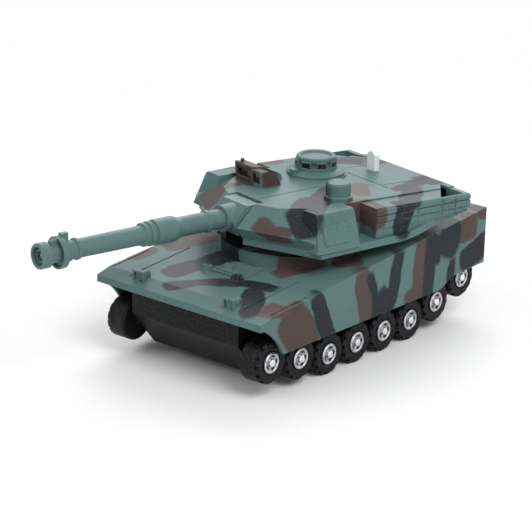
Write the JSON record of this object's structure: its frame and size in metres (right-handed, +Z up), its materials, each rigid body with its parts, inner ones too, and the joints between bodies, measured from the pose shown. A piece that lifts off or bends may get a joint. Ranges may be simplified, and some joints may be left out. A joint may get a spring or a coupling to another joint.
{
  "type": "toy tank",
  "caption": "Push-along toy battle tank with a flywheel drive geared to its wheels, a turning turret, an elevating gun and a spring-return sound button.",
  "frame": {"origin": "bottom centre of the whole model's bounding box, on the floor the wheels stand on", "axes": "+Z up; -Y is the hull's front, so +Y runs towards its rear; +X is the hull's left side"},
  "size_m": [0.1356, 0.2792, 0.1011],
  "materials": {
    "camouflage_plastic": "sprayed camouflage over matt green moulding",
    "green_plastic": "satin moulded green",
    "black_plastic": "fine moulded texture",
    "wheel_plastic": "matt black moulding",
    "silver_plating": "vacuum plated plastic",
    "steel": "drawn wire, plated",
    "flywheel_steel": "turned, lightly oiled",
    "white_nylon": "moulded, satin",
    "circuit_board": "solder resist over laminate",
    "battery_steel": "nickel plated",
    "contact_brass": "sprung strip",
    "speaker_case": "black case with a film cone",
    "white_plastic": "moulded gloss",
    "clear_resin": "milky lamp resin"
  },
  "bodies": {
    "hull": {"upper_hull": "camouflage_plastic", "driver_hatch": "camouflage_plastic", "chassis": "black_plastic", "chassis_screws": "steel", "battery_door": "black_plastic", "button_cells": "battery_steel", "battery_contacts": "contact_brass", "circuit_board": "circuit_board", "speaker": "speaker_case", "gearbox_left_half": "black_plastic", "gearbox_mid_plate": "black_plastic", "gearbox_right_half": "black_plastic", "layshaft_pins": "steel"},
    "turret": {"turret_shell": "camouflage_plastic", "turret_base": "black_plastic", "turret_retainer": "black_plastic", "turret_screws": "steel", "commander_cupola": "camouflage_plastic", "sight_cylinder": "camouflage_plastic", "gunner_sight": "camouflage_plastic", "switch_board": "circuit_board", "contact_dome": "contact_brass", "button_spring": "steel"},
    "button": {"try_me_button": "white_plastic"},
    "gun": {"mantlet": "green_plastic", "gun_barrel": "green_plastic", "muzzle": "green_plastic", "muzzle_led": "clear_resin"},
    "flywheel": {"flywheel": "flywheel_steel", "flywheel_shaft": "steel", "flywheel_pinion": "white_nylon"},
    "front_layshaft": {"front_compound_gear": "white_nylon"},
    "rear_layshaft": {"rear_compound_gear": "white_nylon"},
    "axle_1": {"axle_1_shaft": "steel", "axle_1_wheels": "wheel_plastic", "axle_1_hubcaps": "silver_plating"},
    "axle_2": {"axle_2_shaft": "steel", "axle_2_wheels": "wheel_plastic", "axle_2_hubcaps": "silver_plating"},
    "axle_3": {"axle_3_shaft": "steel", "axle_3_wheels": "wheel_plastic", "axle_3_hubcaps": "silver_plating"},
    "axle_4": {"axle_4_shaft": "steel", "axle_4_wheels": "wheel_plastic", "axle_4_hubcaps": "silver_plating", "axle_4_gear": "white_nylon"},
    "axle_5": {"axle_5_shaft": "steel", "axle_5_wheels": "wheel_plastic", "axle_5_hubcaps": "silver_plating", "axle_5_gear": "white_nylon"},
    "axle_6": {"axle_6_shaft": "steel", "axle_6_wheels": "wheel_plastic", "axle_6_hubcaps": "silver_plating"},
    "axle_7": {"axle_7_shaft": "steel", "axle_7_wheels": "wheel_plastic", "axle_7_hubcaps": "silver_plating"},
    "axle_8": {"axle_8_shaft": "steel", "axle_8_wheels": "wheel_plastic", "axle_8_hubcaps": "silver_plating"}
  },
  "joints": [
    {"name": "turret_turn", "type": "hinge", "parent": "hull", "child": "turret", "pos_m": [-0.00491, 0.02871, 0.06], "axis": [0, 0, 1], "continuous": true},
    {"name": "gun_elevation", "type": "hinge", "parent": "turret", "child": "gun", "pos_m": [-0.01157, -0.00157, 0.08], "axis": [-0.9767, 0.2147, 0], "range_deg": [-5, 12]},
    {"name": "button_press", "type": "slide", "parent": "turret", "child": "button", "axis": [0, 0, -1], "range_m": [0, 0.0015], "stiffness_N_per_m": 150, "springref_m": -0.001, "deforming": ["button_spring"]},
    {"name": "flywheel_spin", "type": "hinge", "parent": "hull", "child": "flywheel", "pos_m": [-0.00491, 0.03311, 0.025], "axis": [1, 0, 0], "continuous": true},
    {"name": "front_layshaft_spin", "type": "hinge", "parent": "hull", "child": "front_layshaft", "pos_m": [-0.01491, 0.02482, 0.02015], "axis": [1, 0, 0], "continuous": true},
    {"name": "rear_layshaft_spin", "type": "hinge", "parent": "hull", "child": "rear_layshaft", "pos_m": [-0.01491, 0.0414, 0.02015], "axis": [1, 0, 0], "continuous": true},
    {"name": "axle_1_spin", "type": "hinge", "parent": "hull", "child": "axle_1", "pos_m": [-0.00491, -0.05439, 0.0211], "axis": [1, 0, 0], "continuous": true},
    {"name": "axle_2_spin", "type": "hinge", "parent": "hull", "child": "axle_2", "pos_m": [-0.00491, -0.02939, 0.0166], "axis": [1, 0, 0], "continuous": true},
    {"name": "axle_3_spin", "type": "hinge", "parent": "hull", "child": "axle_3", "pos_m": [-0.00491, -0.00439, 0.0122], "axis": [1, 0, 0], "continuous": true},
    {"name": "axle_4_spin", "type": "hinge", "parent": "hull", "child": "axle_4", "pos_m": [-0.00491, 0.02061, 0.0122], "axis": [1, 0, 0], "continuous": true},
    {"name": "axle_5_spin", "type": "hinge", "parent": "hull", "child": "axle_5", "pos_m": [-0.00491, 0.04561, 0.0122], "axis": [1, 0, 0], "continuous": true},
    {"name": "axle_6_spin", "type": "hinge", "parent": "hull", "child": "axle_6", "pos_m": [-0.00491, 0.07061, 0.0122], "axis": [1, 0, 0], "continuous": true},
    {"name": "axle_7_spin", "type": "hinge", "parent": "hull", "child": "axle_7", "pos_m": [-0.00491, 0.09561, 0.0168], "axis": [1, 0, 0], "continuous": true},
    {"name": "axle_8_spin", "type": "hinge", "parent": "hull", "child": "axle_8", "pos_m": [-0.00491, 0.12061, 0.0258], "axis": [1, 0, 0], "continuous": true}
  ],
  "couplings": [
    {"joint": "front_layshaft_spin", "follows": "flywheel_spin", "ratio": -0.45455},
    {"joint": "rear_layshaft_spin", "follows": "flywheel_spin", "ratio": -0.45455},
    {"joint": "axle_4_spin", "follows": "flywheel_spin", "ratio": 0.22727},
    {"joint": "axle_5_spin", "follows": "flywheel_spin", "ratio": 0.22727}
  ]
}
